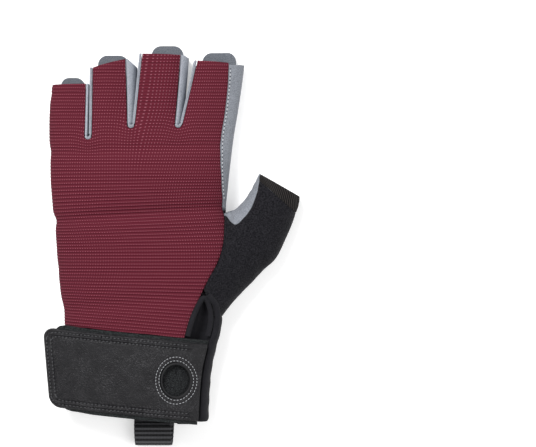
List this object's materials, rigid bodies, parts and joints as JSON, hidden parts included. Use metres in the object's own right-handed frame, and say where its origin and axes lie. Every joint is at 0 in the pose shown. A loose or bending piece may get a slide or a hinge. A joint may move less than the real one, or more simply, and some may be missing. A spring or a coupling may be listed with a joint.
{
  "type": "half-finger climbing glove",
  "caption": "Half-finger climbing glove for the left hand, with a ribbed back, padded suede palm, open fingertips with pull tabs, wrist strap with a clip hole, and a webbing pull loop.",
  "frame": {"origin": "under the middle of the glove, on the surface that its palm lies on", "axes": "+Y from the wrist to the fingertips, +X towards the thumb, +Z out of the back of the hand"},
  "size_m": [0.1406, 0.2192, 0.0331],
  "materials": {
    "maroon_cloth": "ribbed stretch cloth, matte",
    "grey_suede": "synthetic suede, napped",
    "black_stretch": "brushed knit, matte",
    "black_elastic": "woven elastic and loop pile, matte",
    "black_leather": "grained, soft sheen",
    "black_webbing": "ribbed nylon webbing"
  },
  "bodies": {
    "root": {"back_panel": "maroon_cloth", "palm_panel": "grey_suede", "web_patch": "grey_suede", "gusset_little_ring": "grey_suede", "gusset_ring_middle": "grey_suede", "gusset_middle_index": "grey_suede", "tab_little": "grey_suede", "tab_ring": "grey_suede", "tab_middle": "grey_suede", "tab_index": "grey_suede", "thumb_front": "grey_suede", "thumb_back": "black_stretch", "thumb_hem": "black_stretch", "strap_fold": "black_stretch", "vent_gusset": "black_stretch", "vent_piping": "black_stretch", "eyelet": "black_stretch", "cuff_band": "black_elastic", "loop_panel": "black_elastic", "strap": "black_leather", "pull_loop": "black_webbing", "hang_loop": "black_webbing", "side_tab": "black_webbing"}
  },
  "joints": []
}
